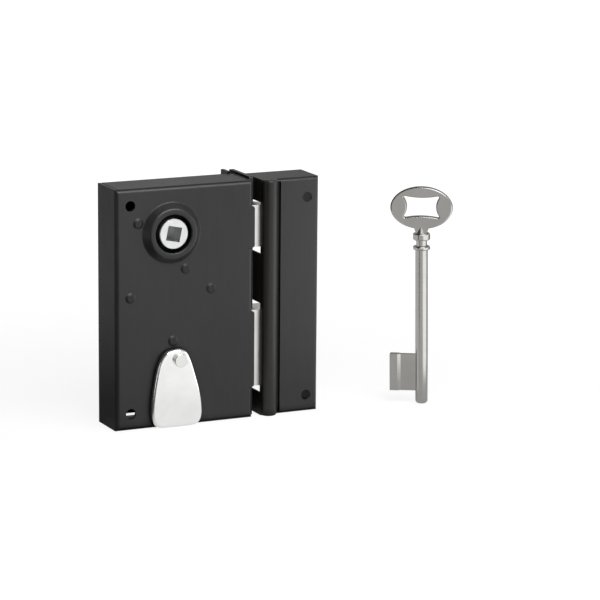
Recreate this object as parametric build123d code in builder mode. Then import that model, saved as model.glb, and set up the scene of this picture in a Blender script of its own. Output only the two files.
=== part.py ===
from build123d import *
import math
import os

os.makedirs("parts", exist_ok=True)

# Rim box lock with its keep and key. Millimetres.
# Front faces -Y, the bolts shoot to +X, +Z is up.
# The origin is the centre of the case's back face.
# Depths are counted backwards from the front face of the case.

# Case, pressed from one sheet: front, top, bottom and both side walls
case_width = 70.0
case_height = 115.0
case_depth = 22.0
sheet = 1.5
bend_radius = 2.0
corner_slit = 0.4
window_lip_reach = 0.8
window_lip_corner = 1.4
window_lip_rise = 0.9

# Clearances
overrun = 1.0
running_gap = 0.05
window_gap = 0.4
slide_gap = 0.2
layer_gap = 0.4

# Wood screw holes of the case, near its left edge
screw_hole_r = 2.5
screw_from_left = 7.4
screw_from_end = 8.0

# Flared boss round the follower
boss_base_r = 14.6
boss_crest_r = 11.6
boss_rim_r = 9.0
boss_proud = 3.3
boss_wall = 1.2
boss_collar_end = 3.0
boss_base_fillet = 0.8
boss_crest_fillet = 1.5
boss_rim_fillet = 0.9

# Follower, turned by the handle's square spindle
follower_share = 0.4
follower_from_top = 22.0
follower_proud = 3.2
journal_r = 7.15
journal_end = 4.5
hub_r = 8.5
hub_end = 20.2
square_side = 7.0
rest_tilt = 12.0
follower_swing = 42.0
arm_start = 12.6
arm_thickness = 4.0
arm_half_width = 2.5
arm_reach = 18.5
toe_reach = 12.5
face_chamfer = 0.3

# Plain bush in the boss
bush_front = 1.5
bush_end = 4.2

# Keyhole, through the front and the back plate
key_from_follower = 2.0
key_from_bottom = 20.0
keyhole_r = 3.5
keyhole_slot = 4.4
keyhole_drop = 15.7

# Posts between the front sheet and the back plate, peened over outside
post_r = 2.8
neck_r = 1.6
peen_r = 2.6
peen_height = 0.6
peen_flank = 1.0
post_collar_r = 4.0
post_foot = 1.5
tap_r = 1.25
tap_depth = 8.0
lever_post_from_left = 7.3
lever_post_rise = 43.5
# Places of the others: right of and above the follower's axis
tail_post_offset = (-16.7, 5.5)
spring_post_offset = (7.3, -17.6)
# Right of and above the key's axis
lever_spring_post_offset = (18.3, 45.0)
guide_post_offset = (-1.2, 21.3)

# Back plate with its rear flange
plate_margin = 3.05
plate_side_gap = 0.3
flange_inset = 3.8
flange_thickness = 1.6
flange_reach = 7.5
end_plate_rise = 1.0

# Countersunk screws of the back plate
plate_screw_r = 1.2
plate_screw_length = 7.0
plate_screw_head_r = 2.7
plate_screw_hole_r = 1.5
screw_slot = 0.6
screw_slot_depth = 0.5

# Forend, the plate outside the right wall
forend_thickness = 2.0
forend_start = 5.0
forend_end = 28.3
forend_corner = 0.8
forend_hole_r = 2.1
forend_sink_r = 3.2
forend_hole_depth = 24.6
forend_hole_from_end = 12.0
forend_rivet_r = 1.5
forend_rivet_head_r = 2.5
forend_rivet_head = 0.8
forend_rivet_depth = 11.0
forend_rivet_from_end = 7.0

# Latch bolt
latch_drop = 10.8
latch_height = 20.2
latch_depth = 13.0
bolt_front = 4.0
bolt_root_inset = 12.0
latch_tip_thickness = 2.6
latch_tip_fillet = 0.9
latch_bevel_start = 0.5
latch_tail_front = 9.5
latch_tail_thickness = 2.5
drive_height = 12.5
drive_pin_r = 2.0
drive_gap = 0.4
drive_pin_head = 0.8
prong_lead = 7.0
prong_rise = 15.8
prong_drop = 13.2
tail_corner = 1.5
tongue_length = 9.0
tongue_inset = 2.2
foot_before_root = 3.0
foot_past_root = 2.5
foot_drop = 21.2
spigot_length = 4.5
spigot_height = 2.6

# Dead bolt, its heights above or below the key's axis
dead_drop = 5.5
dead_height = 37.2
dead_depth = 13.5
dead_throw = 12.0
dead_tip_chamfer = 0.7
dead_tail_front = 9.0
dead_tail_thickness = 3.0
dead_tail_lead = 14.0
dead_tail_low = 13.4
dead_tail_high = 34.0
dead_tongue_low = 15.0
dead_tongue_high = 29.0
talon_width = 10.0
talon_height = 3.2
stump_offset = (6.0, 31.0)
stump_r = 2.0
stump_end = 15.4

# Rivets that hold each bolt head to its tail
bolt_rivet_r = 1.5
bolt_rivet_inset = 4.6
latch_rivet_pitch = 8.6
dead_rivet_pitch = 7.2

# Lever that locks the dead bolt
lever_thickness = 2.0
lever_eye_r = 5.2
lever_lift = 5.1
lever_gap = 0.5
lever_pocket_rise = 3.0
lever_pocket_drop = 3.6
# Corners of the lever: right of and above the key's axis
lever_shoulder_offset = (-6.0, 43.0)
lever_head_offset = (12.6, 37.6)
lever_nose_offset = (12.6, 27.0)
lever_belly_r = 13.6
lever_belly_angle = 26.0
lever_belly_drop = 3.0
lever_corner = 2.0

# Springs
coil_wire_r = 0.35
coil_r = 2.8
coil_turns = 6
coil_seat_gap = 0.15
leaf_wire = 1.0
leaf_start = 12.9

# Swinging cover of the keyhole, a dished pressing
cover_pivot_from_bottom = 32.6
cover_pivot_from_key = 0.9
# Rows of the outline: height above the case's bottom, reach to the left and to the right
cover_top = 37.9
cover_bottom = 0.1
cover_rows = (
    (37.5, 3.3, 2.6),
    (36.6, 5.6, 4.2),
    (33.4, 8.4, 6.3),
    (25.5, 11.0, 9.0),
    (17.2, 12.4, 11.3),
    (9.0, 13.1, 12.5),
    (4.2, 12.6, 12.2),
    (1.5, 11.0, 10.7),
    (0.4, 8.2, 8.0),
    (0.2, 4.0, 4.0),
)
cover_standoff = 1.0
cover_proud = 3.6
cover_sheet = 0.9
cover_edge_fillet = 1.5
pivot_r = 1.55
pivot_head_r = 3.25
pivot_head = 2.0
pivot_head_fillet = 0.35
washer_r = 3.5

# Keep: a strike with a rolled nose and a box that covers it
keep_gap = 3.4
keep_shortfall = 0.5
keep_width = 29.6
keep_front = 1.5
keep_sheet = 1.05
nose_r = 4.0
nose_depth = 2.5
nose_groove = 1.6
strike_flange = 8.6
keep_bend = 1.8
nose_end_fillet = 0.9
opening_front = 3.7
opening_end = 18.6
# Room of the openings below and above each bolt
latch_opening_room = (3.6, 1.1)
dead_opening_room = (3.6, 3.1)
keep_hole_inset = 6.1
keep_hole_low = 8.1
keep_hole_from_top = 9.6

# Key, turned on its axis towards the viewer
key_place = (157.4, -7.0)
key_turn = 34.0
key_lean = 0.9
key_tip_height = 0.2
key_length = 107.0
key_shank_r = 3.0
key_tip_fillet = 1.6
bow_width = 30.1
bow_height = 20.6
bow_thickness = 3.4
bow_edge = 0.7
eye_width = 19.2
eye_height = 11.2
eye_waist_width = 14.2
eye_waist_height = 8.9
eye_corner = 0.6
eye_rise = 0.5
key_neck_r = 2.6
key_neck_top = 87.6
key_neck_top_r = 1.5
key_shoulder = 3.7
key_ring_r = 4.15
key_rings = ((76.1, 78.1), (80.9, 84.4))
key_ring_fillet = 0.8
key_bit_reach = 15.4
key_bit_bottom = 6.35
key_bit_height = 18.05
key_bit_thickness = 4.0
bit_web_thickness = 2.4
bit_slope_start = 10.1
bit_slope_end = 11.65

def moved(place, offset):
    """Place shifted by an offset."""
    return (place[0] + offset[0], place[1] + offset[1])


def around(middle, spread):
    """Two heights, half a spread below and above a middle."""
    return (middle - spread / 2, middle + spread / 2)


# Places that follow from the sizes above: distances to the case's left and bottom edges
left_edge = -case_width / 2
bottom_edge = -case_height / 2
inner_depth = case_depth - sheet
right_outer = case_width + forend_thickness
keep_left = right_outer + keep_gap
keep_right = keep_left + keep_width
keep_height = case_height - keep_shortfall
end_plate_height = case_height + end_plate_rise
flange_from_left = case_width - flange_inset
bolt_root = case_width - bolt_root_inset
follower_place = (follower_share * case_width, case_height - follower_from_top)
follower_from_left, follower_from_bottom = follower_place
key_axis = (follower_from_left + key_from_follower, key_from_bottom)
key_from_left = key_axis[0]
pivot_place = (key_from_left + cover_pivot_from_key, cover_pivot_from_bottom)
tail_post = moved(follower_place, tail_post_offset)
spring_post = moved(follower_place, spring_post_offset)
lever_spring_post = moved(key_axis, lever_spring_post_offset)
guide_post = moved(key_axis, guide_post_offset)
lever_post = (lever_post_from_left, key_from_bottom + lever_post_rise)
lever_shoulder = moved(key_axis, lever_shoulder_offset)
lever_head = moved(key_axis, lever_head_offset)
lever_nose = moved(key_axis, lever_nose_offset)
stump_place = moved(key_axis, stump_offset)
latch_bottom = follower_from_bottom - latch_drop
latch_top = latch_bottom + latch_height
dead_bottom = key_from_bottom - dead_drop
dead_top = dead_bottom + dead_height
prong_start = follower_from_left - prong_lead
prong_top = follower_from_bottom + prong_rise
prong_bottom = follower_from_bottom - prong_drop
foot_left = bolt_root - foot_before_root
foot_right = bolt_root + foot_past_root
foot_bottom = follower_from_bottom - foot_drop
dead_tail_left = key_from_left - dead_tail_lead
dead_tail_bottom = key_from_bottom + dead_tail_low
dead_tail_top = key_from_bottom + dead_tail_high
dead_tongue_bottom = key_from_bottom + dead_tongue_low
dead_tongue_top = key_from_bottom + dead_tongue_high
latch_rivet_heights = around((latch_bottom + latch_top) / 2, latch_rivet_pitch)
dead_rivet_heights = around((dead_tongue_bottom + dead_tongue_top) / 2, dead_rivet_pitch)
latch_window = (latch_bottom - window_gap, latch_top + window_gap)
dead_window = (dead_bottom - window_gap, dead_top + window_gap)
window_end = bolt_front + dead_depth + window_gap
latch_opening = (latch_bottom - latch_opening_room[0], latch_top + latch_opening_room[1])
dead_opening = (dead_bottom - dead_opening_room[0], dead_top + dead_opening_room[1])
latch_drive = drive_pin_r + arm_half_width + drive_gap
swing_end = follower_swing - rest_tilt
latch_throw = latch_drive / math.cos(math.radians(swing_end))
latch_throw -= latch_drive / math.cos(math.radians(rest_tilt))
latch_throw += drive_height * math.tan(math.radians(swing_end))
latch_throw += drive_height * math.tan(math.radians(rest_tilt))
drive_offset = latch_drive / math.cos(math.radians(rest_tilt))
drive_offset -= drive_height * math.tan(math.radians(rest_tilt))
drive_pin = (follower_from_left - drive_offset, follower_from_bottom + drive_height)
lever_front = dead_tail_front + dead_tail_thickness + layer_gap
screw_places = (
    (screw_from_left, screw_from_end),
    (screw_from_left, case_height - screw_from_end),
)
forend_screw_spots = (
    (forend_hole_depth - case_depth, bottom_edge + forend_hole_from_end),
    (forend_hole_depth - case_depth, bottom_edge + end_plate_height - forend_hole_from_end),
)
forend_rivet_heights = (
    forend_rivet_from_end,
    (dead_top + latch_bottom) / 2,
    end_plate_height - forend_rivet_from_end,
)
forend_rivet_spots = [(forend_rivet_depth - case_depth, bottom_edge + h) for h in forend_rivet_heights]
posts = {
    "tail_post": (tail_post, sheet + post_foot),
    "spring_post": (spring_post, sheet + post_foot),
    "lever_spring_post": (lever_spring_post, sheet + post_foot),
    "lever_post": (lever_post, lever_front - slide_gap),
    "guide_post": (guide_post, dead_tail_front - slide_gap),
}


def layer(depth):
    """Plane parallel to the front face, that far behind it: x is right, y is up."""
    return Plane.XZ.offset(case_depth - depth)


def level(height):
    """Horizontal plane at a height above the case's bottom: x is right, y is back."""
    return Plane.XY.offset(bottom_edge + height)


def at(place):
    """Point of the front view, from its distances to the left and bottom edges."""
    return (left_edge + place[0], bottom_edge + place[1])


def plan(from_left, depth):
    """Point of the view from above, from its distances to the left edge and the front."""
    return (left_edge + from_left, depth - case_depth)


def axis_plane(place):
    """Half section through an axis square to the front: x is radius, y is depth."""
    x, z = at(place)
    return Plane(origin=(x, -case_depth, z), x_dir=(1, 0, 0), z_dir=(0, 0, 1))


def axis_of(place):
    x, z = at(place)
    return Axis((x, -case_depth, z), (0, 1, 0))


def block(low, high):
    """Rectangle of the front view between two corners."""
    x0, z0 = at(low)
    x1, z1 = at(high)
    with Locations(((x0 + x1) / 2, (z0 + z1) / 2)):
        Rectangle(x1 - x0, z1 - z0)


def keyhole_outline():
    with Locations(at(key_axis)):
        Circle(keyhole_r)
    half = keyhole_slot / 2
    block((key_from_left - half, key_from_bottom - keyhole_drop), (key_from_left + half, key_from_bottom))


def save(piece, name):
    piece.label = name
    export_step(piece, f"parts/{name}.step")


# Case shell
with BuildPart() as case_shell:
    with BuildSketch(layer(case_depth)):
        Rectangle(case_width, case_height)
    extrude(amount=case_depth)
    fillet(case_shell.faces().sort_by(Axis.Y)[0].edges(), radius=bend_radius)
    with BuildSketch(layer(case_depth)):
        Rectangle(case_width - 2 * sheet, case_height - 2 * sheet)
    extrude(amount=inner_depth, mode=Mode.SUBTRACT)
    floor_face = case_shell.faces().filter_by(Axis.Y).sort_by(Axis.Y)[1]
    fillet(floor_face.edges(), radius=bend_radius - sheet)
    # Slits where the top and bottom flanges meet the side walls
    with BuildSketch(layer(case_depth)):
        with GridLocations(case_width - 2 * sheet - corner_slit, case_height - sheet, 2, 2):
            Rectangle(corner_slit, 2 * sheet)
    extrude(amount=case_depth - bend_radius, mode=Mode.SUBTRACT)
    # Windows of the two bolts, cut through the right wall and its bend
    with BuildSketch(layer(0)):
        for low, high in (latch_window, dead_window):
            block((case_width - bend_radius, low), (case_width + overrun, high))
    extrude(amount=-window_end, mode=Mode.SUBTRACT)
    # The front sheet stays flat across each window
    with BuildSketch(layer(0)) as lips:
        for low, high in (latch_window, dead_window):
            lip_foot = (case_width - 2 * bend_radius, low + window_lip_rise)
            block(lip_foot, (case_width + window_lip_reach, high))
        fillet(lips.vertices().group_by(Axis.X)[-1], radius=window_lip_corner)
    extrude(amount=-sheet)
    # Flared boss of the follower
    with BuildSketch(layer(-overrun)):
        with Locations(at(follower_place)):
            Circle((boss_base_r + boss_crest_r + 2 * boss_wall) / 2)
    extrude(amount=-(sheet + 2 * overrun), mode=Mode.SUBTRACT)
    with BuildSketch(axis_plane(follower_place)):
        with BuildLine():
            FilletPolyline(
                (boss_base_r + 2 * boss_base_fillet, 0),
                (boss_base_r, 0),
                (boss_crest_r, -boss_proud),
                (boss_rim_r, -boss_proud),
                (boss_rim_r, boss_collar_end),
                radius=[boss_base_fillet, boss_crest_fillet, boss_rim_fillet],
            )
            Polyline(
                (boss_rim_r, boss_collar_end),
                (boss_rim_r + boss_wall, boss_collar_end),
                (boss_rim_r + boss_wall, boss_wall - boss_proud),
                (boss_crest_r - boss_wall / 2, boss_wall - boss_proud),
                (boss_base_r - boss_wall, sheet),
                (boss_base_r + 2 * boss_base_fillet, sheet),
                (boss_base_r + 2 * boss_base_fillet, 0),
            )
        make_face()
    revolve(axis=axis_of(follower_place))
    # Holes for the wood screws, the key, the posts and the cover's pivot
    with BuildSketch(layer(-overrun)):
        with Locations(*[at(place) for place in screw_places]):
            Circle(screw_hole_r)
        keyhole_outline()
        with Locations(*[at(place) for place, _ in posts.values()]):
            Circle(neck_r + running_gap)
        with Locations(at(pivot_place)):
            Circle(pivot_r + running_gap)
    extrude(amount=-(sheet + 2 * overrun), mode=Mode.SUBTRACT)
    # Holes for the forend's rivets
    with BuildSketch(Plane.YZ.offset(left_edge + case_width - sheet - overrun)):
        with Locations(*forend_rivet_spots):
            Circle(forend_rivet_r + running_gap)
    extrude(amount=sheet + 2 * overrun, mode=Mode.SUBTRACT)
save(case_shell.part, "case_shell")


def spacer_post(place, collar_end):
    """Turned post, peened over in front, with a tapped hole behind."""
    with BuildPart() as post:
        with BuildSketch(axis_plane(place)):
            with BuildLine():
                Polyline(
                    (0, -peen_height),
                    (peen_r - peen_flank, -peen_height),
                    (peen_r, 0),
                    (neck_r, 0),
                    (neck_r, sheet),
                    (post_collar_r, sheet),
                    (post_collar_r, collar_end),
                    (post_r, collar_end),
                    (post_r, inner_depth),
                    (tap_r, inner_depth),
                    (tap_r, inner_depth - tap_depth),
                    (0, inner_depth - tap_depth),
                    close=True,
                )
            make_face()
        revolve(axis=axis_of(place))
    return post.part


for post_name, (post_place, collar_depth) in posts.items():
    save(spacer_post(post_place, collar_depth), post_name)


# Back plate, set between the walls, with the flange that points rearwards
plate_left = sheet + plate_side_gap
plate_right = flange_from_left + flange_thickness
with BuildPart() as back_plate:
    with BuildSketch(layer(inner_depth)):
        block((plate_left, plate_margin), (plate_right, case_height - plate_margin))
    extrude(amount=-sheet)
    with BuildSketch(layer(case_depth)):
        block((flange_from_left, 0), (plate_right, end_plate_height))
    extrude(amount=-flange_reach)
    bend_edge = back_plate.edges().filter_by(Axis.Z).group_by(Axis.X)[-1].sort_by(Axis.Y)[0]
    fillet(bend_edge, radius=sheet - plate_side_gap)
    with BuildSketch(layer(inner_depth - overrun)):
        with Locations(*[at(place) for place in screw_places]):
            Circle(screw_hole_r + slide_gap)
        keyhole_outline()
        with Locations(at(follower_place)):
            Circle(journal_r + running_gap)
        with Locations(*[at(place) for place, _ in posts.values()]):
            Circle(plate_screw_hole_r)
    extrude(amount=-(sheet + 2 * overrun), mode=Mode.SUBTRACT)
    # The forend's screws pass through the flange too
    with BuildSketch(Plane.YZ.offset(left_edge + flange_from_left - overrun)):
        with Locations(*forend_screw_spots):
            Circle(forend_hole_r + slide_gap)
    extrude(amount=flange_thickness + 2 * overrun, mode=Mode.SUBTRACT)
    # Countersinks of the plate's screws
    for post_place, _ in posts.values():
        with BuildSketch(axis_plane(post_place)):
            with BuildLine():
                Polyline(
                    (0, case_depth),
                    (plate_screw_head_r + running_gap, case_depth),
                    (0, case_depth - plate_screw_head_r - running_gap),
                    close=True,
                )
            make_face()
        revolve(axis=axis_of(post_place), mode=Mode.SUBTRACT)
save(back_plate.part, "back_plate")


# Countersunk screws of the back plate
with BuildPart() as back_screws:
    for post_place, _ in posts.values():
        with BuildSketch(axis_plane(post_place)):
            with BuildLine():
                Polyline(
                    (0, case_depth),
                    (plate_screw_head_r, case_depth),
                    (plate_screw_r, case_depth - plate_screw_head_r + plate_screw_r),
                    (plate_screw_r, case_depth - plate_screw_length),
                    (0, case_depth - plate_screw_length),
                    close=True,
                )
            make_face()
        revolve(axis=axis_of(post_place))
    with BuildSketch(layer(case_depth - screw_slot_depth)):
        with Locations(*[at(place) for place, _ in posts.values()]):
            Rectangle(2 * plate_screw_head_r + overrun, screw_slot)
    extrude(amount=-(screw_slot_depth + overrun), mode=Mode.SUBTRACT)
save(back_screws.part, "back_screws")


# Forend, open towards the front where the bolts pass
with BuildPart() as forend:
    with BuildSketch(Plane.YZ.offset(left_edge + case_width)) as forend_outline:
        with Locations(((forend_start + forend_end) / 2 - case_depth, bottom_edge + end_plate_height / 2)):
            Rectangle(forend_end - forend_start, end_plate_height)
        fillet(forend_outline.vertices(), radius=forend_corner)
        window_y = (window_end + forend_start - overrun) / 2 - case_depth
        for low, high in (latch_window, dead_window):
            with Locations((window_y, bottom_edge + (low + high) / 2)):
                Rectangle(window_end - forend_start + overrun, high - low, mode=Mode.SUBTRACT)
    extrude(amount=forend_thickness)
    with Locations(Plane.YZ.offset(left_edge + right_outer)):
        with Locations(*forend_screw_spots):
            CounterSinkHole(forend_hole_r, forend_sink_r)
        with Locations(*forend_rivet_spots):
            Hole(forend_rivet_r + running_gap)
save(forend.part, "forend")


# Rivets of the forend, headed inside the case and dressed flush outside
with BuildPart() as forend_rivets:
    with BuildSketch(Plane.YZ.offset(left_edge + case_width - sheet - forend_rivet_head)):
        with Locations(*forend_rivet_spots):
            Circle(forend_rivet_head_r)
    extrude(amount=forend_rivet_head)
    with BuildSketch(Plane.YZ.offset(left_edge + case_width - sheet)):
        with Locations(*forend_rivet_spots):
            Circle(forend_rivet_r)
    extrude(amount=sheet + forend_thickness)
save(forend_rivets.part, "forend_rivets")


# Follower: front and rear journals, hub, a driving arm and a short toe
tilt = math.radians(rest_tilt)
with BuildPart() as follower:
    with BuildSketch(layer(-follower_proud)):
        with Locations(at(follower_place)):
            Circle(journal_r)
    extrude(amount=-(follower_proud + case_depth))
    chamfer(follower.edges().sort_by(Axis.Y)[0], length=face_chamfer)
    with BuildSketch(layer(journal_end)):
        with Locations(at(follower_place)):
            Circle(hub_r)
    extrude(amount=-(hub_end - journal_end))
    for side, reach in ((1, arm_reach), (-1, toe_reach)):
        arm_end = side * (reach - arm_half_width)
        tip = moved(follower_place, (arm_end * math.sin(tilt), arm_end * math.cos(tilt)))
        with BuildSketch(layer(arm_start)):
            with Locations(at(follower_place), at(tip)):
                Circle(arm_half_width)
            make_hull()
        extrude(amount=-arm_thickness)
    with BuildSketch(layer(-follower_proud - overrun)):
        with Locations(at(follower_place)):
            Rectangle(square_side, square_side, rotation=-rest_tilt)
    extrude(amount=-(follower_proud + case_depth + 2 * overrun), mode=Mode.SUBTRACT)
save(follower.part, "follower")


# Bush between the boss and the follower's front journal
with BuildPart() as follower_bush:
    with BuildSketch(layer(bush_front)):
        with Locations(at(follower_place)):
            Circle(boss_rim_r - running_gap)
            Circle(journal_r + running_gap, mode=Mode.SUBTRACT)
    extrude(amount=-(bush_end - bush_front))
save(follower_bush.part, "follower_bush")


def bolt_rivets(heights, depth):
    """Pair of rivets through a bolt head and the tongue in it, dressed flush."""
    with BuildPart() as rivets:
        with BuildSketch(layer(bolt_front)):
            with Locations(*[at((bolt_root + bolt_rivet_inset, h)) for h in heights]):
                Circle(bolt_rivet_r)
        extrude(amount=-depth)
    return rivets.part


# Latch head, bevelled on the side that meets the keep when the door closes
latch_end = right_outer + latch_throw
with BuildPart() as latch_head:
    with BuildSketch(level(latch_bottom)) as latch_plan:
        with BuildLine():
            Polyline(
                plan(bolt_root, bolt_front),
                plan(latch_end, bolt_front),
                plan(latch_end, bolt_front + latch_tip_thickness),
                plan(right_outer + latch_bevel_start, bolt_front + latch_depth),
                plan(bolt_root, bolt_front + latch_depth),
                close=True,
            )
        make_face()
        fillet(latch_plan.vertices().group_by(Axis.X)[-1], radius=latch_tip_fillet)
    extrude(amount=latch_height)
    with BuildSketch(layer(latch_tail_front - running_gap)):
        block(
            (bolt_root - overrun, latch_bottom + tongue_inset - running_gap),
            (bolt_root + tongue_length + running_gap, latch_top - tongue_inset + running_gap),
        )
    extrude(amount=-(latch_tail_thickness + 2 * running_gap), mode=Mode.SUBTRACT)
    with BuildSketch(layer(bolt_front - overrun)):
        with Locations(*[at((bolt_root + bolt_rivet_inset, h)) for h in latch_rivet_heights]):
            Circle(bolt_rivet_r + running_gap)
    extrude(amount=-(latch_depth + 2 * overrun), mode=Mode.SUBTRACT)
save(latch_head.part, "latch_head")
save(bolt_rivets(latch_rivet_heights, latch_depth), "latch_rivets")


# Latch tail: a fork that straddles the follower's hub, with a foot for the spring
fork_half = hub_r + window_gap
with BuildPart() as latch_tail:
    with BuildSketch(layer(latch_tail_front)) as tail_plan:
        block((prong_start, prong_bottom), (bolt_root - slide_gap, prong_top))
        block((foot_left, foot_bottom), (foot_right, prong_bottom + tail_corner))
        fillet(tail_plan.vertices().group_by(Axis.X)[0], radius=tail_corner)
        with Locations(at((follower_from_left + latch_throw, follower_from_bottom))):
            Circle(fork_half, mode=Mode.SUBTRACT)
        fork_low = at((prong_start - overrun, follower_from_bottom - fork_half))
        fork_high = at((follower_from_left + latch_throw, follower_from_bottom + fork_half))
        with Locations(((fork_low[0] + fork_high[0]) / 2, (fork_low[1] + fork_high[1]) / 2)):
            Rectangle(fork_high[0] - fork_low[0], fork_high[1] - fork_low[1], mode=Mode.SUBTRACT)
        block(
            (bolt_root - tail_corner, latch_bottom + tongue_inset),
            (bolt_root + tongue_length, latch_top - tongue_inset),
        )
        spigot_middle = spring_post[1]
        block(
            (foot_left - spigot_length, spigot_middle - spigot_height / 2),
            (foot_left + tail_corner, spigot_middle + spigot_height / 2),
        )
        with Locations(*[at((bolt_root + bolt_rivet_inset, h)) for h in latch_rivet_heights]):
            Circle(bolt_rivet_r + running_gap, mode=Mode.SUBTRACT)
        with Locations(at(drive_pin)):
            Circle(drive_pin_r / 2 + running_gap, mode=Mode.SUBTRACT)
    extrude(amount=-latch_tail_thickness)
save(latch_tail.part, "latch_tail")


# Pin of the tail, pushed by the follower's arm
with BuildPart() as latch_drive_pin:
    with BuildSketch(layer(latch_tail_front)):
        with Locations(at(drive_pin)):
            Circle(drive_pin_r / 2)
    extrude(amount=-latch_tail_thickness)
    with BuildSketch(layer(latch_tail_front + latch_tail_thickness)):
        with Locations(at(drive_pin)):
            Circle(drive_pin_r)
    extrude(amount=-(arm_start + arm_thickness - latch_tail_front - latch_tail_thickness))
save(latch_drive_pin.part, "drive_pin")


# Dead bolt head
dead_end = right_outer + dead_throw
with BuildPart() as deadbolt_head:
    with BuildSketch(level(dead_bottom)) as dead_plan:
        with BuildLine():
            Polyline(
                plan(bolt_root, bolt_front),
                plan(dead_end, bolt_front),
                plan(dead_end, bolt_front + dead_depth),
                plan(bolt_root, bolt_front + dead_depth),
                close=True,
            )
        make_face()
    extrude(amount=dead_height)
    chamfer(deadbolt_head.faces().sort_by(Axis.X)[-1].edges(), length=dead_tip_chamfer)
    with BuildSketch(layer(dead_tail_front - running_gap)):
        block(
            (bolt_root - overrun, dead_tongue_bottom - running_gap),
            (bolt_root + tongue_length + running_gap, dead_tongue_top + running_gap),
        )
    extrude(amount=-(dead_tail_thickness + 2 * running_gap), mode=Mode.SUBTRACT)
    with BuildSketch(layer(bolt_front - overrun)):
        with Locations(*[at((bolt_root + bolt_rivet_inset, h)) for h in dead_rivet_heights]):
            Circle(bolt_rivet_r + running_gap)
    extrude(amount=-(dead_depth + 2 * overrun), mode=Mode.SUBTRACT)
save(deadbolt_head.part, "deadbolt_head")
save(bolt_rivets(dead_rivet_heights, dead_depth), "deadbolt_rivets")


# Dead bolt tail: slotted for the guide post, with a talon for the key
with BuildPart() as deadbolt_tail:
    with BuildSketch(layer(dead_tail_front)) as dead_tail_plan:
        block((dead_tail_left, dead_tail_bottom), (bolt_root - slide_gap, dead_tail_top))
        fillet(dead_tail_plan.vertices(), radius=tail_corner)
        block((bolt_root - tail_corner, dead_tongue_bottom), (bolt_root + tongue_length, dead_tongue_top))
        with Locations(at((guide_post[0] + dead_throw / 2, guide_post[1]))):
            SlotCenterToCenter(dead_throw, 2 * (post_r + slide_gap), mode=Mode.SUBTRACT)
        talon_x, talon_z = at((key_from_left + dead_throw / 2, dead_tail_bottom))
        with Locations((talon_x, talon_z)):
            Rectangle(talon_width, 2 * talon_height, mode=Mode.SUBTRACT)
        with Locations(*[at((bolt_root + bolt_rivet_inset, h)) for h in dead_rivet_heights]):
            Circle(bolt_rivet_r + running_gap, mode=Mode.SUBTRACT)
        with Locations(at(stump_place)):
            Circle(stump_r / 2 + running_gap, mode=Mode.SUBTRACT)
    extrude(amount=-dead_tail_thickness)
save(deadbolt_tail.part, "deadbolt_tail")


# Stump of the dead bolt, riveted in the tail, which the lever catches
with BuildPart() as bolt_stump:
    with BuildSketch(layer(dead_tail_front)):
        with Locations(at(stump_place)):
            Circle(stump_r / 2)
    extrude(amount=-dead_tail_thickness)
    with BuildSketch(layer(dead_tail_front + dead_tail_thickness)):
        with Locations(at(stump_place)):
            Circle(stump_r)
    extrude(amount=-(stump_end - dead_tail_front - dead_tail_thickness))
save(bolt_stump.part, "bolt_stump")


def in_lever(place, share):
    """Where a fixed or sliding point lies on the lever once it is lifted by a share."""
    angle = math.radians(lever_lift * share)
    x, z = place[0] - lever_post[0], place[1] - lever_post[1]
    return (
        lever_post[0] + x * math.cos(angle) + z * math.sin(angle),
        lever_post[1] - x * math.sin(angle) + z * math.cos(angle),
    )


def stump_in_lever(share):
    return in_lever((stump_place[0] - dead_throw * share, stump_place[1]), share)


# Lever: hangs on its post, its belly over the key, its gate round the stump
belly_side = lever_belly_r * math.sin(math.radians(lever_belly_angle))
belly_low = key_from_bottom + lever_belly_r * math.cos(math.radians(lever_belly_angle))
with BuildPart() as lever:
    with BuildSketch(layer(lever_front)) as lever_plan:
        with BuildLine():
            ThreePointArc(
                at((key_from_left - belly_side, belly_low)),
                at((key_from_left, key_from_bottom + lever_belly_r)),
                at((key_from_left + belly_side, belly_low)),
            )
            Polyline(
                at((key_from_left + belly_side, belly_low)),
                at((key_from_left + belly_side + lever_belly_drop, belly_low + lever_belly_drop)),
                at(lever_nose),
                at(lever_head),
                at(lever_shoulder),
                at((lever_post[0], lever_post[1] + lever_eye_r)),
                at((lever_post[0] - lever_eye_r, lever_post[1])),
                at((key_from_left - belly_side - lever_belly_drop, belly_low + lever_belly_drop)),
                at((key_from_left - belly_side, belly_low)),
            )
        make_face()
        with Locations(at(lever_post)):
            Circle(lever_eye_r)
        with Locations(at(lever_post)):
            Circle(post_r + running_gap, mode=Mode.SUBTRACT)
        with BuildLine(mode=Mode.PRIVATE) as gate_line:
            ThreePointArc(at(stump_in_lever(0)), at(stump_in_lever(0.5)), at(stump_in_lever(1)))
        SlotArc(gate_line.edges()[0], 2 * (stump_r + lever_gap), mode=Mode.SUBTRACT)
        pocket_height = lever_pocket_rise + lever_pocket_drop
        pocket_lift = (lever_pocket_rise - lever_pocket_drop) / 2
        for share, lift in ((0, pocket_lift), (1, -pocket_lift)):
            x, z = at(stump_in_lever(share))
            with Locations((x, z + lift)):
                RectangleRounded(
                    2 * (stump_r + lever_gap), pocket_height, radius=lever_gap, mode=Mode.SUBTRACT
                )
        with Locations(*[at(in_lever(guide_post, share)) for share in (0, 0.5, 1)]):
            Circle(post_r + lever_gap, mode=Mode.SUBTRACT)
    extrude(amount=-lever_thickness)
save(lever.part, "lever")


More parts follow.
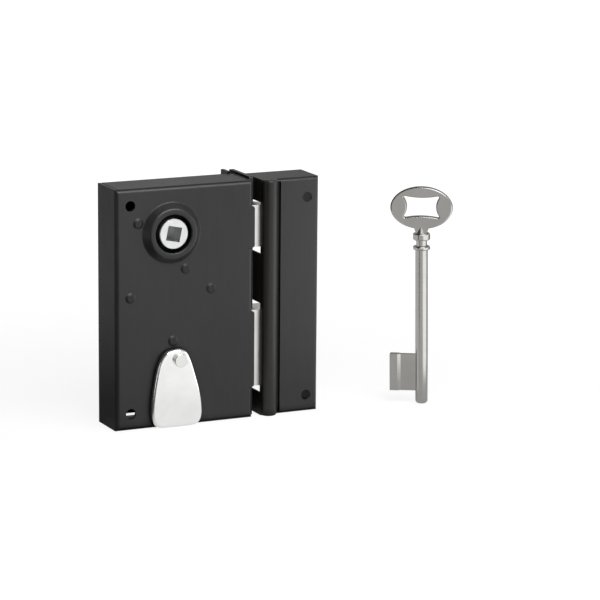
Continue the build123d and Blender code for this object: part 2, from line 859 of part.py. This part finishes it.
# Spring of the lever: a wire looped round its post, with an arm on the lever's back
with BuildPart() as lever_spring:
    loop_r = post_r + slide_gap
    loop_x, loop_z = at(lever_spring_post)
    tip_x, tip_z = at(lever_shoulder)
    with BuildSketch(layer(leaf_start)):
        with BuildLine():
            Polyline(
                (loop_x, loop_z - loop_r),
                (tip_x, tip_z + running_gap + leaf_wire),
                (tip_x, tip_z + running_gap),
                (loop_x, loop_z - loop_r - leaf_wire),
                close=True,
            )
        make_face()
        with Locations((loop_x, loop_z)):
            Circle(loop_r + leaf_wire)
            Circle(loop_r, mode=Mode.SUBTRACT)
    extrude(amount=-leaf_wire)
save(lever_spring.part, "lever_spring")


# Latch spring: a coil between its post and the foot of the latch tail
coil_start = spring_post[0] + post_r + coil_wire_r + coil_seat_gap
coil_end = foot_left - coil_wire_r - coil_seat_gap
coil_x, coil_z = at((coil_start, spring_post[1]))
coil_y = latch_tail_front + latch_tail_thickness / 2 - case_depth
with BuildPart() as latch_spring:
    with BuildLine() as coil_line:
        Helix(
            pitch=(coil_end - coil_start) / coil_turns,
            height=coil_end - coil_start,
            radius=coil_r,
            center=(coil_x, coil_y, coil_z),
            direction=(1, 0, 0),
        )
    with BuildSketch(Plane(origin=coil_line.line @ 0, z_dir=coil_line.line % 0)):
        Circle(coil_wire_r)
    sweep(path=coil_line.line, is_frenet=True)
save(latch_spring.part, "latch_spring")


# Cover of the keyhole: a dished pressing, hollow behind
cover_middle = (cover_top + cover_bottom) / 2
cover_half_height = (cover_top - cover_bottom) / 2
cover_half_width = max(right for _, _, right in cover_rows)
cover_right = [(right, height) for height, _, right in cover_rows]
cover_left = [(-left, height) for height, left, _ in reversed(cover_rows)]
cover_loop = [(0, cover_top), *cover_right, (0, cover_bottom), *cover_left]


def cover_dish(inset, front, rounding):
    """Solid dish between the cover's rim and a front plane, set in from its outline."""
    wide = 1 - inset / cover_half_width
    tall = 1 - inset / cover_half_height
    loop = [
        at((key_from_left + x * wide, cover_middle + (z - cover_middle) * tall)) for x, z in cover_loop
    ]
    with BuildPart() as dish:
        with BuildSketch(layer(-cover_standoff)):
            with BuildLine():
                Spline(*loop, periodic=True)
            make_face()
        extrude(amount=front - cover_standoff)
        fillet(dish.faces().sort_by(Axis.Y)[0].edges(), radius=rounding)
    return dish.part


cover_outside = cover_dish(0, cover_proud, cover_edge_fillet)
cover_inside = cover_dish(cover_sheet, cover_proud - cover_sheet, cover_edge_fillet - cover_sheet)
with BuildPart() as key_cover:
    add(cover_outside)
    add(cover_inside, mode=Mode.SUBTRACT)
    with BuildSketch(layer(0)):
        with Locations(at(pivot_place)):
            Circle(pivot_r + running_gap)
    extrude(amount=cover_proud + overrun, mode=Mode.SUBTRACT)
save(key_cover.part, "key_cover")


# Rivet that the cover swings on, flush inside the case
with BuildPart() as cover_rivet:
    with BuildSketch(layer(-cover_proud)):
        with Locations(at(pivot_place)):
            Circle(pivot_head_r)
    extrude(amount=pivot_head)
    fillet(cover_rivet.edges().sort_by(Axis.Y)[0], radius=pivot_head_fillet)
    with BuildSketch(layer(-cover_proud)):
        with Locations(at(pivot_place)):
            Circle(pivot_r)
    extrude(amount=-(cover_proud + sheet))
save(cover_rivet.part, "cover_rivet")


# Washer that holds the cover off the case
with BuildPart() as cover_washer:
    with BuildSketch(layer(0)):
        with Locations(at(pivot_place)):
            Circle(washer_r)
            Circle(pivot_r + running_gap, mode=Mode.SUBTRACT)
    extrude(amount=cover_proud - cover_sheet)
save(cover_washer.part, "cover_washer")


# Strike of the keep: the wall that the bolts enter, rolled into a nose in front
nose_centre = keep_left + nose_r
nose_right = nose_centre + nose_r
flange_front = keep_front + keep_sheet
with BuildPart() as keep_strike:
    with BuildSketch(level(keep_sheet)):
        with BuildLine():
            Line(plan(keep_left, case_depth), plan(keep_left, nose_depth))
            ThreePointArc(
                plan(keep_left, nose_depth),
                plan(nose_centre, nose_depth - nose_r),
                plan(nose_right, nose_depth),
            )
            Polyline(
                plan(nose_right, nose_depth),
                plan(nose_right, flange_front),
                plan(nose_right + strike_flange, flange_front),
                plan(nose_right + strike_flange, flange_front + keep_sheet),
                plan(nose_right - keep_sheet, flange_front + keep_sheet),
                plan(nose_right - keep_sheet, nose_depth),
            )
            ThreePointArc(
                plan(nose_right - keep_sheet, nose_depth),
                plan(nose_centre, nose_depth - nose_r + keep_sheet),
                plan(keep_left + keep_sheet, nose_depth),
            )
            Polyline(
                plan(keep_left + keep_sheet, nose_depth),
                plan(keep_left + keep_sheet, case_depth),
                plan(keep_left, case_depth),
            )
        make_face()
    extrude(amount=keep_height - 2 * keep_sheet)
    # Openings for the bolts, with room for their ends behind the flange
    opening_y = (opening_front + opening_end) / 2 - case_depth
    with BuildSketch(Plane.YZ.offset(left_edge + keep_left - overrun)):
        for low, high in (latch_opening, dead_opening):
            with Locations((opening_y, bottom_edge + (low + high) / 2)):
                Rectangle(opening_end - opening_front, high - low)
    extrude(amount=dead_end + 2 * window_gap - keep_left + overrun, mode=Mode.SUBTRACT)
save(keep_strike.part, "keep_strike")


# Box of the keep: front, right wall and the end walls that close the nose too
box_left = nose_right + nose_groove
with BuildPart() as nose_ends:
    with BuildSketch(level(0)):
        with BuildLine():
            ThreePointArc(
                plan(keep_left, nose_depth),
                plan(nose_centre, nose_depth - nose_r),
                plan(nose_right, nose_depth),
            )
            Line(plan(nose_right, nose_depth), plan(keep_left, nose_depth))
        make_face()
    extrude(amount=keep_height)
    fillet(nose_ends.edges().filter_by(GeomType.CIRCLE), radius=nose_end_fillet)
with BuildPart() as keep_cover:
    with BuildSketch(layer(case_depth)):
        block((keep_left + nose_r, 0), (keep_right, keep_height))
    extrude(amount=case_depth - keep_front)
    front_edges = keep_cover.faces().sort_by(Axis.Y)[0].edges()
    right_edge = front_edges.filter_by(Axis.Z).sort_by(Axis.X)[-1:]
    fillet(front_edges.filter_by(Axis.X) + right_edge, radius=keep_bend)
    add(nose_ends.part)
    with BuildSketch(layer(case_depth)):
        block((keep_left, 0), (nose_right, keep_height))
    extrude(amount=case_depth - nose_depth)
    with BuildSketch(layer(case_depth)):
        block((keep_left - overrun, keep_sheet), (keep_right - keep_sheet, keep_height - keep_sheet))
    extrude(amount=case_depth - flange_front, mode=Mode.SUBTRACT)
    # Between its end walls the front stops at the groove beside the nose
    with BuildSketch(layer(flange_front)):
        block((keep_left - overrun, keep_sheet), (box_left, keep_height - keep_sheet))
    extrude(amount=flange_front + nose_r, mode=Mode.SUBTRACT)
    with BuildSketch(layer(keep_front - overrun)):
        with Locations(
            at((keep_right - keep_hole_inset, keep_hole_low)),
            at((keep_right - keep_hole_inset, keep_height - keep_hole_from_top)),
        ):
            Circle(screw_hole_r)
    extrude(amount=-(keep_sheet + 2 * overrun), mode=Mode.SUBTRACT)
save(keep_cover.part, "keep_cover")


# Key: solid shank with turned rings, an oval bow and a flat bit
key_x, key_y = plan(*key_place)
key_z = bottom_edge + key_tip_height
turn = math.radians(key_turn)
lean = math.radians(key_lean)
key_plane = Plane(
    origin=(key_x, key_y, key_z),
    x_dir=(math.cos(turn) * math.cos(lean), -math.sin(turn) * math.cos(lean), math.sin(lean)),
    z_dir=(-math.sin(turn), -math.cos(turn), 0),
)
bow_plane = Plane(
    origin=key_plane.from_local_coords((0, key_length - bow_height / 2, 0)),
    x_dir=key_plane.x_dir,
    z_dir=key_plane.z_dir,
)
shank_axis = Axis((key_x, key_y, key_z), tuple(key_plane.y_dir))
across = Axis((key_x, key_y, key_z), tuple(key_plane.z_dir))
with BuildPart() as key:
    with BuildSketch(bow_plane) as bow:
        Ellipse(bow_width / 2, bow_height / 2)
        with BuildSketch(mode=Mode.PRIVATE) as eye:
            with BuildLine():
                for flip in (-1, 1):
                    ThreePointArc(
                        (-eye_width / 2, eye_rise + flip * eye_height / 2),
                        (0, eye_rise + flip * eye_waist_height / 2),
                        (eye_width / 2, eye_rise + flip * eye_height / 2),
                    )
                    ThreePointArc(
                        (flip * eye_width / 2, eye_rise - eye_height / 2),
                        (flip * eye_waist_width / 2, eye_rise),
                        (flip * eye_width / 2, eye_rise + eye_height / 2),
                    )
            make_face()
            fillet(eye.vertices(), radius=eye_corner)
        add(eye.sketch_local, mode=Mode.SUBTRACT)
    extrude(amount=bow_thickness / 2, both=True)
    bow_faces = key.faces().filter_by(across).sort_by(across)
    fillet(bow_faces[0].edges() + bow_faces[-1].edges(), radius=bow_edge)
    # Shoulder that flares from the upper ring into the bow
    ring_top = key_rings[-1][1]
    with BuildSketch(key_plane):
        with BuildLine():
            Polyline(
                (-key_neck_r, ring_top),
                (key_neck_r, ring_top),
                (key_shoulder, key_neck_top),
                (-key_shoulder, key_neck_top),
                close=True,
            )
        make_face()
    extrude(amount=bow_thickness / 2, both=True)
    # Shank, thinner between the rings and tapered into the bow
    with BuildSketch(key_plane):
        with BuildLine():
            FilletPolyline((0, 0), (key_shank_r, 0), (key_shank_r, key_rings[0][0]), radius=key_tip_fillet)
            Polyline(
                (key_shank_r, key_rings[0][0]),
                (key_neck_r, key_rings[0][0]),
                (key_neck_r, ring_top),
                (key_neck_top_r, key_neck_top),
                (0, key_neck_top),
                (0, 0),
            )
        make_face()
    revolve(axis=shank_axis)
    for low, high in key_rings:
        with BuildSketch(key_plane):
            with BuildLine():
                FilletPolyline(
                    (0, low), (key_ring_r, low), (key_ring_r, high), (0, high), radius=key_ring_fillet
                )
                Line((0, high), (0, low))
            make_face()
        revolve(axis=shank_axis)
    # Bit: a web that slopes up to its thicker end
    bit_plane = Plane(
        origin=key_plane.from_local_coords((0, key_bit_bottom, 0)),
        x_dir=key_plane.x_dir,
        z_dir=key_plane.y_dir,
    )
    with BuildSketch(bit_plane):
        with BuildLine():
            Polyline(
                (0, bit_web_thickness / 2),
                (-bit_slope_start, bit_web_thickness / 2),
                (-bit_slope_end, key_bit_thickness / 2),
                (-key_bit_reach, key_bit_thickness / 2),
                (-key_bit_reach, -key_bit_thickness / 2),
                (-bit_slope_end, -key_bit_thickness / 2),
                (-bit_slope_start, -bit_web_thickness / 2),
                (0, -bit_web_thickness / 2),
                close=True,
            )
        make_face()
    extrude(amount=key_bit_height)
save(key.part, "key")
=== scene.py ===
import math

import bpy
from mathutils import Matrix, Vector


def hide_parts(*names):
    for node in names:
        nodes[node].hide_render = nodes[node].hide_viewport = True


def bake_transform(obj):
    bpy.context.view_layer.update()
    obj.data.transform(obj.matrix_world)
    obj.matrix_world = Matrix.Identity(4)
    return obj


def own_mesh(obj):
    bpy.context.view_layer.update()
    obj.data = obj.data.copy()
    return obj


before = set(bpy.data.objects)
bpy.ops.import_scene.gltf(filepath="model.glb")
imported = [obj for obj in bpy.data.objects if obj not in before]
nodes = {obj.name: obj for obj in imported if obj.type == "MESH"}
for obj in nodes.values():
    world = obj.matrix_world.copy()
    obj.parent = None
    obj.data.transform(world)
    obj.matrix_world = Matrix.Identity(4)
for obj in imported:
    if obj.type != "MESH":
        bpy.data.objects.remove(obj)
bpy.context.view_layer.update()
scene = bpy.context.scene

MM = 0.001
UP = (0, 0, 1)
FLOOR_Z = -57.6 * MM
FLOOR_HALF = 4.0
FOLLOWER_AXIS = (-7.0 * MM, 0.0, 35.5 * MM)

# The photograph's camera: 600 x 600 pixels, found from the corners of the case and the keep
YAW, PITCH, ROLL = 0.44439, 0.21142, 0.00828
FOCAL_PIXELS, FRAME_PIXELS, SENSOR = 3129.79, 600.0, 36.0
CAMERA_PLACE = Vector((-568.63, -1341.54, 311.55)) * MM
CAMERA_CLIP = (0.05, 20.0)

# Colours, and the roughness of the floor
WHITE = (1, 1, 1, 1)
WHITE_FLOOR = (0.95, 0.95, 0.95, 1)
GREY_FLOOR = ((0.34, 0.34, 0.34), (0.36, 0.36, 0.36))
FLOOR_ROUGH = 0.8
# Black of the painted shade inside creases and gaps
PAINTED_SHADE_BLACK = (0.003, 0.003, 0.003)
DUST_GREY = (0.09, 0.09, 0.09)
# Steel showing on rubbed edges, also standing in as a painted highlight there
EDGE_RUB_AND_GLINT_GREY = (0.14, 0.14, 0.142)
PAINT_LEVELS = (0.015, 0.021)
BRIGHT_EDGE = (0.95, 0.95, 0.94)

# Where noise is taken from and to, for colours and for roughness
CLOUD_RANGE = (0.35, 0.68)
WIDE_CLOUD_RANGE = (0.35, 0.7)
ROUGH_RANGE = (0.3, 0.7)

# Edges, and the painted shade in creases and gaps: how far they reach, and where their measure is taken
# from
PAINT_EDGE, BOLT_EDGE_WIDTH = 0.35 * MM, 0.3 * MM
EDGE_RANGE = (0.02, 0.25)
PAINTED_SHADE_REACH, PAINTED_SHADE_SHARE = 6 * MM, 0.08
UNSHADED_AO_RANGE = (0.35, 0.85)

# Turned rings of the follower, 0.3 mm apart, in radians per metre
TURNED_RINGS = 21000

# The surroundings by direction: where gloss sees them pale, ahead of the lock, and dark, overhead.
# Ramps here and below are (from low, from high, to low, to high).
AMBIENT = 0.15
PALE_WAY = (1.0, -0.7, 0.0)
WORLD_AHEAD = (-0.6, 0.75, 0.1, 0.93)
WORLD_OVERHEAD = (0.3, 0.85, 1.0, 0.25)

# The floor as gloss sees it, a painted glow: pale on one side of a line and in front, fading towards the
# lock as painted shade
PALE_FLOOR = (1.0, -0.23, 0.0)
FLOOR_SIDE = (-0.045, -0.005)
FLOOR_IN_FRONT = (0.02, -0.03)
FLOOR_FADE = (-0.45, -0.04, 1.2, 0.74)
FLOOR_BEHIND = (0.05, 0.25, 0.1, 0.4)
# The floor as the camera sees it: the share of plain white that grows with the distance
FLOOR_WHITE = 1.1
FLOOR_AWAY = (0.15, 0.5, 0.8, 1.0)

# Lamps: place, size and radiance, all aimed at one point
LAMP_AIM = (0.02, -0.02, 0.0)
LAMPS = {
    "top_light": ((0.06, -0.30, 0.34), (0.4, 0.24), 5.4),
    "front_light": ((0.45, -1.2, 0.6), (0.9, 0.9), 0.3),
    "back_light": ((0.1, 1.3, 0.8), (1.2, 0.9), 0.4),
}

# Upright cards for the gloss of the key and cover: start and end on the floor, height, strength
CARDS = {
    "key_card_right": ((0.118, -0.110), (0.200, -0.055), 0.10, 2.4),
    "key_card_face": ((0.023, -0.078), (0.093, -0.136), 0.14, 0.95),
    "rim_card": ((-0.25, -0.10), (-0.25, -0.07), 0.12, 2.0),
    "key_card_left": ((0.092, -0.036), (0.108, 0.05), 0.09, 1.1),
}


def make_camera():
    ahead = Vector((math.sin(YAW) * math.cos(PITCH), math.cos(YAW) * math.cos(PITCH), -math.sin(PITCH)))
    level = Vector((math.cos(YAW), -math.sin(YAW), 0))
    upright = level.cross(ahead)
    right = level * math.cos(ROLL) + upright * math.sin(ROLL)
    up = upright * math.cos(ROLL) - level * math.sin(ROLL)
    data = bpy.data.cameras.new("photo_camera")
    data.sensor_width = SENSOR
    data.lens = FOCAL_PIXELS / FRAME_PIXELS * SENSOR
    data.clip_start, data.clip_end = CAMERA_CLIP
    camera = bpy.data.objects.new("photo_camera", data)
    turned = Matrix((right, up, -ahead)).transposed().to_4x4()
    camera.matrix_world = Matrix.Translation(CAMERA_PLACE) @ turned
    scene.collection.objects.link(camera)
    scene.camera = camera


class Nodes:
    """Short way to build a node tree: most calls add a node and return its output."""

    def __init__(self, tree, coordinate):
        self.tree = tree
        self.place = self.add("ShaderNodeTexCoord").outputs[coordinate]

    def add(self, kind, **settings):
        node = self.tree.nodes.new(kind)
        for key, value in settings.items():
            setattr(node, key, value)
        return node

    def link(self, source, target):
        self.tree.links.new(source, target)

    def feed(self, target, value):
        """Link a socket, or set a plain value."""
        if isinstance(value, bpy.types.NodeSocket):
            self.link(value, target)
        else:
            target.default_value = value

    def math(self, operation, a, b=0.0):
        node = self.add("ShaderNodeMath", operation=operation)
        self.feed(node.inputs[0], a)
        self.feed(node.inputs[1], b)
        return node.outputs[0]

    def times(self, a, b):
        return self.math("MULTIPLY", a, b)

    def dot(self, a, b):
        node = self.add("ShaderNodeVectorMath", operation="DOT_PRODUCT")
        self.feed(node.inputs[0], a)
        self.feed(node.inputs[1], b)
        return node.outputs["Value"]

    def parts(self, vector):
        """The X, Y and Z of a vector, by name."""
        node = self.add("ShaderNodeSeparateXYZ")
        self.link(vector, node.inputs[0])
        return node.outputs

    def spread(self, value, low, high, to_low=0.0, to_high=1.0):
        """A value taken from one range to another and held at its ends."""
        node = self.add("ShaderNodeMapRange")
        self.feed(node.inputs["Value"], value)
        node.inputs["From Min"].default_value = low
        node.inputs["From Max"].default_value = high
        node.inputs["To Min"].default_value = to_low
        node.inputs["To Max"].default_value = to_high
        return node.outputs["Result"]

    def shine(self, kind, **inputs):
        """A shader or a background with the named inputs."""
        node = self.add(kind)
        for name, value in inputs.items():
            self.feed(node.inputs[name], value)
        return node.outputs[0]

    def either(self, share, a, b):
        """Shader a where the share is 0, and b where it is 1."""
        node = self.add("ShaderNodeMixShader")
        self.link(share, node.inputs["Fac"])
        self.link(a, node.inputs[1])
        self.link(b, node.inputs[2])
        return node.outputs[0]

    def by_ray(self, lighting, gloss, camera):
        """One shader for the lighting, one for what gloss mirrors and one for the camera."""
        path = self.add("ShaderNodeLightPath")
        unseen = self.either(path.outputs["Is Glossy Ray"], lighting, gloss)
        return self.either(path.outputs["Is Camera Ray"], unseen, camera)


class Shader(Nodes):
    """Node tree of one new material."""

    def __init__(self, name):
        self.material = bpy.data.materials.new(name)
        self.material.use_nodes = True
        super().__init__(self.material.node_tree, "Object")
        self.bsdf = self.tree.nodes["Principled BSDF"]
        self.surface = self.tree.nodes["Material Output"].inputs["Surface"]

    def mapped(self, scale=(1, 1, 1), move=(0, 0, 0)):
        node = self.add("ShaderNodeMapping")
        self.link(self.place, node.inputs["Vector"])
        node.inputs["Scale"].default_value = scale
        node.inputs["Location"].default_value = move
        return node.outputs["Vector"]

    def noise(self, scale, detail=2.0, rough=0.5, at=None):
        """Noise with about so many features per metre."""
        node = self.add("ShaderNodeTexNoise")
        self.link(at or self.place, node.inputs["Vector"])
        node.inputs["Scale"].default_value = scale
        node.inputs["Detail"].default_value = detail
        node.inputs["Roughness"].default_value = rough
        return node.outputs["Fac"]

    def dots(self, scale):
        node = self.add("ShaderNodeTexVoronoi")
        self.link(self.place, node.inputs["Vector"])
        node.inputs["Scale"].default_value = scale
        return node.outputs["Distance"]

    def blend(self, share, a, b):
        """Colour a where the share is 0, and b where it is 1."""
        node = self.add("ShaderNodeMix", data_type="RGBA")
        self.feed(node.inputs["Factor"], share)
        for name, colour in (("A", a), ("B", b)):
            value = colour if isinstance(colour, bpy.types.NodeSocket) else (*colour, 1)
            self.feed(node.inputs[name], value)
        return node.outputs["Result"]

    def edges(self, radius):
        """1 on sharp edges, 0 on flat faces."""
        round_off = self.add("ShaderNodeBevel", samples=6)
        round_off.inputs["Radius"].default_value = radius
        flat = self.add("ShaderNodeNewGeometry").outputs["Normal"]
        away = self.math("SUBTRACT", 1.0, self.dot(round_off.outputs["Normal"], flat))
        return self.spread(away, *EDGE_RANGE)

    def painted_crease_shade(self, reach, dark):
        """Painted shade: 1 in the open, falling to a dark share inside corners and gaps, where shade falls.
        """
        node = self.add("ShaderNodeAmbientOcclusion", samples=8)
        node.inputs["Distance"].default_value = reach
        return self.spread(node.outputs["AO"], *UNSHADED_AO_RANGE, dark, 1.0)

    def rings(self, centre, plane, per_metre):
        """Fine turned rings round an axis through a point, across the two named directions."""
        parts = self.parts(self.mapped(move=tuple(-c for c in centre)))
        a, b = (parts[letter] for letter in plane)
        away = self.math("SQRT", self.math("ADD", self.times(a, a), self.times(b, b)))
        return self.math("SINE", self.times(away, per_metre))

    def finish(self, colour, rough, *heights):
        """Colour, roughness and bump, from (height, strength, distance) layers one over the other."""
        self.link(colour, self.bsdf.inputs["Base Color"])
        self.link(rough, self.bsdf.inputs["Roughness"])
        below = None
        for height, strength, distance in heights:
            node = self.add("ShaderNodeBump")
            self.link(height, node.inputs["Height"])
            node.inputs["Strength"].default_value = strength
            node.inputs["Distance"].default_value = distance
            if below:
                self.link(below, node.inputs["Normal"])
            below = node.outputs["Normal"]
        self.link(below, self.bsdf.inputs["Normal"])
        return self.material

    def metal(self, colour, grain, rough, *heights):
        """Bare metal, with a roughness that follows its grain between two values."""
        self.bsdf.inputs["Metallic"].default_value = 1.0
        return self.finish(colour, self.spread(grain, *ROUGH_RANGE, *rough), *heights)


def black_paint(name="black_paint", edge_rub_and_glint=1.0, tint=(1.0, 1.0, 1.02), sheen=0.45):
    """Black paint with soft clouds, specks of dust, rubbed edges that also carry a painted highlight, and
    painted shade in creases.
    """
    s = Shader(name)
    cloud = s.noise(28, 4, 0.6)
    grain = s.noise(2600, 2, 0.55)
    streak = s.noise(60, 3, 0.6, s.mapped(scale=(6, 6, 0.7)))
    shade = s.math("ADD", s.times(cloud, 0.6), s.times(streak, 0.4))
    dark, light = (tuple(level * share for share in tint) for level in PAINT_LEVELS)
    colour = s.blend(s.spread(shade, 0.35, 0.65), dark, light)
    speck = s.times(s.spread(s.dots(420), 0.05, 0.1, 0.45, 0.0), s.spread(s.noise(90, 2), 0.55, 0.62))
    colour = s.blend(speck, colour, DUST_GREY)
    # Edges lightened and broken by noise: partly rubbed paint showing steel, partly a painted highlight
    # along the edges.
    rub_and_glint = s.times(s.edges(PAINT_EDGE), s.spread(s.noise(220, 3, 0.65), 0.42, 0.66))
    colour = s.blend(s.times(rub_and_glint, 0.55 * edge_rub_and_glint), colour, EDGE_RUB_AND_GLINT_GREY)
    # Painted shade: colour and gloss darken inside corners and gaps, where shade falls.
    unshaded_share = s.painted_crease_shade(PAINTED_SHADE_REACH, PAINTED_SHADE_SHARE)
    colour = s.blend(unshaded_share, PAINTED_SHADE_BLACK, colour)
    s.link(s.times(unshaded_share, sheen), s.bsdf.inputs["Specular IOR Level"])
    layers = (grain, 0.10, 0.05 * MM), (s.noise(340, 3, 0.5), 0.16, 0.08 * MM), (cloud, 0.10, 0.5 * MM)
    return s.finish(colour, s.spread(shade, *ROUGH_RANGE, 0.36, 0.45), *layers)


def bright_bolt():
    """Bright bolt heads, brushed along their height, with paler edges."""
    s = Shader("bright_bolt")
    brushed = s.noise(1500, 3, 0.6, s.mapped(scale=(0.35, 1, 0.06)))
    cloud = s.noise(60, 3, 0.6)
    colour = s.blend(s.spread(cloud, *WIDE_CLOUD_RANGE), (0.84, 0.83, 0.81), (0.76, 0.74, 0.71))
    colour = s.blend(s.times(s.edges(BOLT_EDGE_WIDTH), 0.5), colour, BRIGHT_EDGE)
    return s.metal(colour, brushed, (0.30, 0.42), (brushed, 0.12, 0.03 * MM), (cloud, 0.1, 0.2 * MM))


def plain_steel(name="plain_steel", tint=(0.56, 0.56, 0.57), rough=0.38):
    """Plain or plated steel of the hidden pieces."""
    s = Shader(name)
    cloud = s.noise(110, 4, 0.6)
    fine = s.noise(1400, 2, 0.5)
    colour = s.blend(s.spread(cloud, *CLOUD_RANGE), tint, tuple(c * 0.82 for c in tint))
    limits = (rough - 0.05, rough + 0.07)
    return s.metal(colour, fine, limits, (fine, 0.12, 0.04 * MM), (cloud, 0.12, 0.2 * MM))


def turned_zinc():
    """Pale follower, with the fine rings of a lathe on its end."""
    s = Shader("turned_zinc")
    rings = s.rings(FOLLOWER_AXIS, "XZ", TURNED_RINGS)
    cloud = s.noise(260, 4, 0.6)
    colour = s.blend(s.spread(cloud, *CLOUD_RANGE), (0.74, 0.75, 0.74), (0.65, 0.66, 0.66))
    pits = s.noise(900, 3, 0.6)
    return s.metal(colour, cloud, (0.34, 0.46), (rings, 0.05, 0.02 * MM), (pits, 0.22, 0.06 * MM))


def nickel(name, tint, rough, grain_scale):
    """Polished plating, with its finest scratches along the least grain scale."""
    s = Shader(name)
    brushed = s.noise(1800, 3, 0.6, s.mapped(scale=grain_scale))
    cloud = s.noise(70, 3, 0.55)
    colour = s.blend(s.spread(cloud, *WIDE_CLOUD_RANGE), tint, tuple(c * 0.9 for c in tint))
    limits = (rough - 0.03, rough + 0.05)
    return s.metal(colour, brushed, limits, (brushed, 0.02, 0.01 * MM), (cloud, 0.1, 0.25 * MM))


def dress():
    finishes = {
        black_paint(): "case_shell back_plate forend forend_rivets",
        # The strike's paint is warmer and darker than the case's: the warm hue is its own colour, and the
        # darkness is painted shade for the gap where it stands.
        black_paint("strike_paint_shaded", tint=(0.6, 0.56, 0.44)): "keep_strike",
        black_paint("keep_paint", sheen=0.44): "keep_cover",
        black_paint("post_paint", 0.0, sheen=0.34):
            "tail_post spring_post lever_spring_post lever_post guide_post",
        black_paint("bush_black", 0.0, sheen=0.55): "follower_bush",
        bright_bolt(): "latch_head deadbolt_head",
        plain_steel():
            "latch_tail latch_rivets drive_pin deadbolt_tail deadbolt_rivets bolt_stump lever cover_washer",
        turned_zinc(): "follower",
        plain_steel("spring_steel", (0.42, 0.42, 0.44), 0.33): "latch_spring lever_spring",
        plain_steel("zinc_screw", (0.72, 0.73, 0.74), 0.3): "back_screws",
        nickel("cover_nickel", (0.95, 0.95, 0.93), 0.13, (1, 1, 0.3)): "key_cover",
        nickel("rivet_nickel", (0.84, 0.84, 0.82), 0.2, (1, 1, 1)): "cover_rivet",
        # The key's plating is tinted dark grey, far below bright nickel: painted shade standing in for the
        # grey surroundings that its faces mirror.
        nickel("key_nickel_darkened", (0.335, 0.328, 0.315), 0.2, (1, 1, 0.08)): "key",
    }
    for material, names in finishes.items():
        for name in names.split():
            mesh = nodes[name].data
            mesh.materials.clear()
            mesh.materials.append(material)


def flex_springs():
    """Gives the latch's coil a mesh of its own, and puts a copy of the lever spring, with its placing baked
    in, in place of the hidden original.
    """
    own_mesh(nodes["latch_spring"])
    wire = nodes["lever_spring"].copy()
    wire.data = wire.data.copy()
    wire.name = "lever_spring_wire"
    scene.collection.objects.link(wire)
    wire.parent = None
    wire.matrix_world = nodes["lever_spring"].matrix_world
    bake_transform(wire)
    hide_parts("lever_spring")


def area_light(name, place, size, radiance):
    """Rectangular lamp of an even radiance, so that its size alone sets how much it lights."""
    data = bpy.data.lights.new(name, "AREA")
    data.shape = "RECTANGLE"
    data.size, data.size_y = size
    data.energy = radiance * math.pi * size[0] * size[1]
    lamp = bpy.data.objects.new(name, data)
    lamp.location = place
    lamp.rotation_mode = "QUATERNION"
    lamp.rotation_quaternion = (Vector(LAMP_AIM) - Vector(place)).to_track_quat("-Z", "Y")
    scene.collection.objects.link(lamp)


def make_world():
    """White for the camera, a plain grey for the lighting, and pale or dark by direction for gloss."""
    world = bpy.data.worlds.new("studio")
    scene.world = world
    world.use_nodes = True
    w = Nodes(world.node_tree, "Generated")
    ahead = w.spread(w.dot(w.place, PALE_WAY), *WORLD_AHEAD)
    overhead = w.spread(w.dot(w.place, UP), *WORLD_OVERHEAD)
    strengths = (AMBIENT, w.times(ahead, overhead), 1.0)
    views = [w.shine("ShaderNodeBackground", Color=WHITE, Strength=strength) for strength in strengths]
    w.link(w.by_ray(*views), w.tree.nodes["World Output"].inputs["Surface"])


def flat_sheet(s, name, corners):
    """One four-cornered face with the shader's material."""
    mesh = bpy.data.meshes.new(name)
    mesh.from_pydata(corners, [], [(0, 1, 2, 3)])
    mesh.materials.append(s.material)
    sheet = bpy.data.objects.new(name, mesh)
    scene.collection.objects.link(sheet)
    return sheet


def make_floor():
    """Grey for the lighting, white under the soft shadow for the camera, and a graded painted glow for
    gloss.
    """
    s = Shader("floor")
    s.link(s.blend(s.noise(3, 2), *GREY_FLOOR), s.bsdf.inputs["Base Color"])
    s.bsdf.inputs["Roughness"].default_value = FLOOR_ROUGH
    back = s.parts(s.place)["Y"]
    bright = s.times(s.spread(s.dot(s.place, PALE_FLOOR), *FLOOR_SIDE), s.spread(back, *FLOOR_IN_FRONT))
    bright = s.times(bright, s.spread(back, *FLOOR_FADE))
    graded = s.math("ADD", bright, s.spread(back, *FLOOR_BEHIND))
    painted_reflection_glow = s.shine("ShaderNodeEmission", Strength=graded)
    shadowed = s.shine("ShaderNodeBsdfDiffuse", Color=WHITE_FLOOR)
    white = s.shine("ShaderNodeEmission", Strength=FLOOR_WHITE)
    away = s.add("ShaderNodeVectorMath", operation="LENGTH")
    s.link(s.place, away.inputs[0])
    shown = s.either(s.spread(away.outputs["Value"], *FLOOR_AWAY), shadowed, white)
    s.link(s.by_ray(s.bsdf.outputs[0], painted_reflection_glow, shown), s.surface)
    half = FLOOR_HALF
    corners = ((-half, -half), (half, -half), (half, half), (-half, half))
    floor = flat_sheet(s, "floor", [(x, y, FLOOR_Z) for x, y in corners])


def reflector(name, start, end, height, strength):
    """Upright card on the floor that only polished faces see."""
    s = Shader(name)
    s.link(s.shine("ShaderNodeEmission", Strength=strength), s.surface)
    top = FLOOR_Z + height
    card = flat_sheet(s, name, [(*start, FLOOR_Z), (*end, FLOOR_Z), (*end, top), (*start, top)])
    card.visible_camera = card.visible_diffuse = card.visible_shadow = False


def make_studio():
    make_world()
    make_floor()
    for name, lamp in LAMPS.items():
        area_light(name, *lamp)
    for name, card in CARDS.items():
        reflector(name, *card)


make_camera()
dress()
flex_springs()
make_studio()

bpy.context.view_layer.update()
scene.view_settings.view_transform = "Standard"
